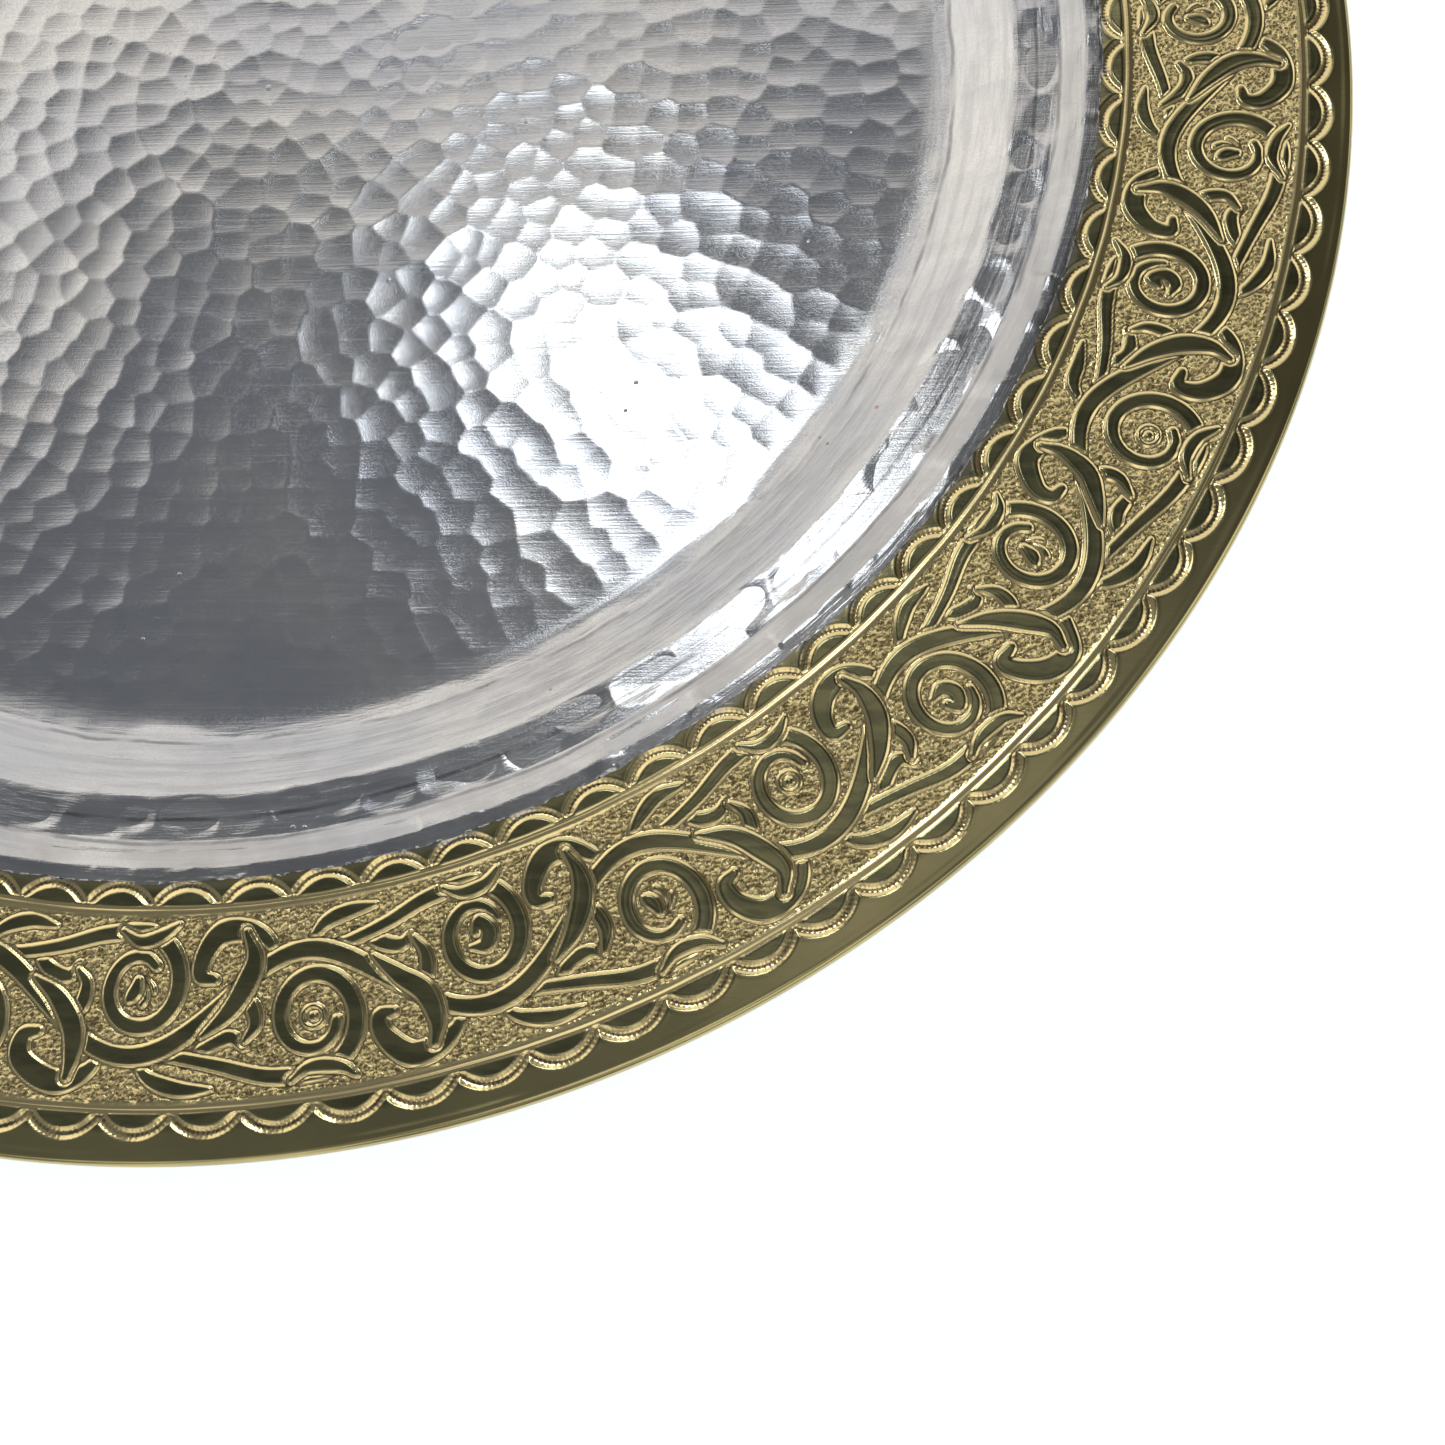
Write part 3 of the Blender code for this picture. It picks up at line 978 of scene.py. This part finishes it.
def brass_material():
    """Polished brass with a punched ground, painted shade in its pits and painted highlight on their rims;
    streaked tarnish with painted shade on the upper flats between the scallops, painted highlight inside the
    chased lines and on the beads' crests, darker in its deepest lines, and smeared with tin at the well's
    edge."""
    n = MaterialNodes("brass")
    radius, _ = n.from_axis()
    ground, hollow = n.stored("ground"), n.stored("hollow")
    upper = n.ranged(n.height(), *UPPER_FACE)

    colour = n.mixed(n.ranged(n.noise(22, 4), 0.35, 0.65), *POLISHED)
    # streaked tarnish on the band's upper flats, which also serves as painted shade there
    tarnish_and_shade = n.mixed(n.ranged(n.lines(0.6, 70, 260, 3), 0.36, 0.64), *TARNISH_WITH_PAINTED_SHADE)
    in_band = n.maths(
        "MULTIPLY", n.ranged(radius, *TARNISH_SHADE_INNER_EDGE), n.ranged(radius, *TARNISH_SHADE_OUTER_EDGE, 1.0, 0.0)
    )
    colour = n.mixed(n.maths("MULTIPLY", in_band, upper), colour, tarnish_and_shade)
    # painted highlight inside the chased lines, scallops and bead valleys; the flats stay darker
    colour = n.mixed(n.ranged(hollow, 0.04, 0.30), colour, LINE_PAINTED_HIGHLIGHT)
    # painted highlight on the crest of each bead
    for at in BORDER_BEADS:
        away = n.maths("ABSOLUTE", n.maths("SUBTRACT", radius, at))
        on_ridge = n.ranged(away, *RIDGE_EDGE, 1.0, 0.0)
        colour = n.mixed(n.maths("MULTIPLY", upper, on_ridge), colour, BEAD_CREST_PAINTED_HIGHLIGHT)
    punches = n.cells(820)
    # painted shade in each punch pit and painted highlight on its rim, then stains
    punched_shading_and_stain = n.mixed(n.ranged(punches, 0.15, 0.55), *PUNCH_PIT_SHADE_RIM_HIGHLIGHT)
    punched_shading_and_stain = n.mixed(n.ranged(n.noise(420, 2), 0.50, 0.66, 0.0, 0.75), punched_shading_and_stain, PUNCHED_STAIN)
    colour = n.mixed(ground, colour, punched_shading_and_stain)
    # darker in the deepest lines
    deep = n.maths("MULTIPLY", n.ranged(hollow, 0.82, 0.97), n.maths("SUBTRACT", 1.0, ground))
    colour = n.mixed(n.maths("MULTIPLY", deep, n.ranged(n.noise(160, 3), 0.35, 0.6, 0.2, 0.85)), colour, DEEP_LINE_DARK)
    smear = n.ranged(n.maths("MULTIPLY_ADD", n.noise(110, 3), -SMEAR_RAG, radius), *SMEAR_EDGE, 0.8, 0.0)
    smear = n.maths("MULTIPLY", smear, n.ranged(n.noise(55, 3), 0.4, 0.6))
    colour = n.mixed(n.maths("MULTIPLY", smear, upper), colour, TIN_SMEAR)

    rough = n.maths("MULTIPLY_ADD", n.noise(60, 3), 0.08, 0.10)
    rough = n.maths("MULTIPLY_ADD", ground, 0.12, rough)
    normal = n.bump(n.lines(1.2, 30, 1600, 3), 0.02 * MM, 0.5)
    normal = n.bump(punches, 0.5 * MM, n.maths("MULTIPLY", ground, 0.9), normal)
    return n.finished(colour, rough, normal)


# ---------------------------------------------------------------- the rest
WIRE_STEEL, WIRE_RUST = (0.32, 0.31, 0.30), (0.20, 0.13, 0.09)
GROUND_COLOUR = (0.93, 0.93, 0.925, 1.0)


def wire_material():
    n = MaterialNodes("wire")
    colour = n.mixed(n.ranged(n.noise(120, 4), 0.4, 0.65), WIRE_STEEL, WIRE_RUST)
    rough = n.maths("MULTIPLY_ADD", n.noise(300, 3), 0.25, 0.32)
    return n.finished(colour, rough, n.bump(n.noise(1400, 3), 0.1 * MM))


def floor_material():
    n = MaterialNodes("floor", metallic=0.0)
    n.shader.inputs["Base Color"].default_value = GROUND_COLOUR
    n.shader.inputs["Roughness"].default_value = 0.85
    return n.material


# ================================================================ stage


def direction(azimuth, elevation):
    """Unit vector; azimuth is clockwise from +Y, both in degrees."""
    a, e = math.radians(azimuth), math.radians(elevation)
    return (math.sin(a) * math.cos(e), math.cos(a) * math.cos(e), math.sin(e))


def make_world():
    """A pale room with a dim ceiling and a few patches; the camera itself sees plain white."""
    world = bpy.data.worlds.new("studio")
    world.use_nodes = True
    bpy.context.scene.world = world
    n = Nodes(world.node_tree, "Generated")

    def toward(azimuth, elevation, inner, outer):
        """1 within inner degrees of a direction, 0 beyond outer."""
        dot = n.vector("DOT_PRODUCT", n.place, direction(azimuth, elevation)).outputs["Value"]
        return n.ranged(dot, math.cos(math.radians(outer)), math.cos(math.radians(inner)))

    clouds = n.noise(5.5, 3.0, 0.5)
    panels = n.ranged(n.noise(2.6, 0.0, 0.5), 0.35, 0.65)
    far_walls = n.mixed(panels, (1.15, 1.13, 1.09), (0.30, 0.305, 0.32))
    walls = n.mixed(clouds, (1.13, 1.09, 1.03), (0.62, 0.63, 0.66))
    walls = n.mixed(toward(-25, 30, 50, 68), far_walls, walls)
    walls = n.mixed(toward(-80, 26, 28, 50), walls, (1.16, 1.13, 1.08))

    ceiling = n.mixed(clouds, (0.115, 0.125, 0.14), (0.215, 0.225, 0.24))
    sky = n.mixed(toward(0, 90, 38, 42), walls, ceiling)
    sky = n.mixed(toward(-95, 42, 20, 34), sky, ceiling)  # the ceiling comes down at the left
    sky = n.mixed(toward(-36, 50, 2, 7), sky, ceiling)
    sky = n.mixed(toward(170, 46, 28, 42), sky, walls)  # and is open behind the camera
    sky = n.mixed(toward(46, 46, 15, 22), sky, (0.09, 0.09, 0.085))
    sky = n.mixed(toward(18, 79, 4, 13), sky, (0.42, 0.42, 0.43))
    seen = n.add("ShaderNodeLightPath").outputs["Is Camera Ray"]
    sky = n.mixed(seen, sky, (1.0, 1.0, 1.0))

    background = n.tree.nodes["Background"]
    n.link(sky, background.inputs["Color"])
    background.inputs["Strength"].default_value = 1.0


def softbox(name, aim, azimuth, elevation, distance, long_side, short_side, slant, radiance, glossy=True):
    """A lamp that faces the place aim; slant turns its long side away from level, in degrees."""
    lamp = bpy.data.lights.new(name, "AREA")
    lamp.shape = "RECTANGLE"
    lamp.size = long_side
    lamp.size_y = short_side
    lamp.energy = radiance * math.pi * long_side * short_side
    lamp.color = LAMP_COLOUR
    light = bpy.data.objects.new(name, lamp)
    bpy.context.scene.collection.objects.link(light)
    back = Vector(direction(azimuth, elevation))
    level = Vector((math.cos(math.radians(azimuth)), -math.sin(math.radians(azimuth)), 0))
    side = Matrix.Rotation(math.radians(slant), 3, back) @ level
    axes = Matrix((side, back.cross(side), back)).transposed().to_4x4()
    light.matrix_world = Matrix.Translation(Vector(aim) + back * distance) @ axes
    light.visible_camera = False
    light.visible_glossy = glossy


def make_lights():
    softbox("key", (0.112, -0.130, 0), -14, 62, 2.2, 0.68, 0.30, -57, 4.0)
    softbox("fill", (0, 0, 0), 150, 70, 9.0, 6.2, 4.9, 0, 8.0, glossy=False)


def make_floor():
    bpy.ops.mesh.primitive_circle_add(
        vertices=96, radius=GROUND_RADIUS, fill_type="NGON", location=(0, 0, GROUND_HEIGHT)
    )
    floor = bpy.context.active_object
    floor.name = "floor"
    floor.data.materials.append(floor_material())


def make_camera():
    lens = bpy.data.cameras.new("camera")
    lens.lens = LENS
    lens.sensor_width = SENSOR
    lens.clip_start = 0.01
    lens.clip_end = 50.0
    camera = bpy.data.objects.new("camera", lens)
    bpy.context.scene.collection.objects.link(camera)
    camera.location = Vector(CAMERA_PLACE) * OUTER_RADIUS + Vector((0, 0, RIM_TOP))
    camera.rotation_euler = Euler([math.radians(a) for a in CAMERA_TURN])
    bpy.context.scene.camera = camera


def place(piece, material, node, slot):
    piece.data.materials.clear()
    piece.data.materials.append(material)
    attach(piece, "root")
    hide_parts(node)


bpy.context.scene.view_settings.view_transform = "Standard"
make_camera()
place(make_tray_sheet(), brass_material(), "tray_sheet", "brass")
place(make_tin(), tin_material(), "tin_lining", "tin")
place(make_wire(), wire_material(), "rim_wire", "steel_wire")
make_floor()
make_world()
make_lights()
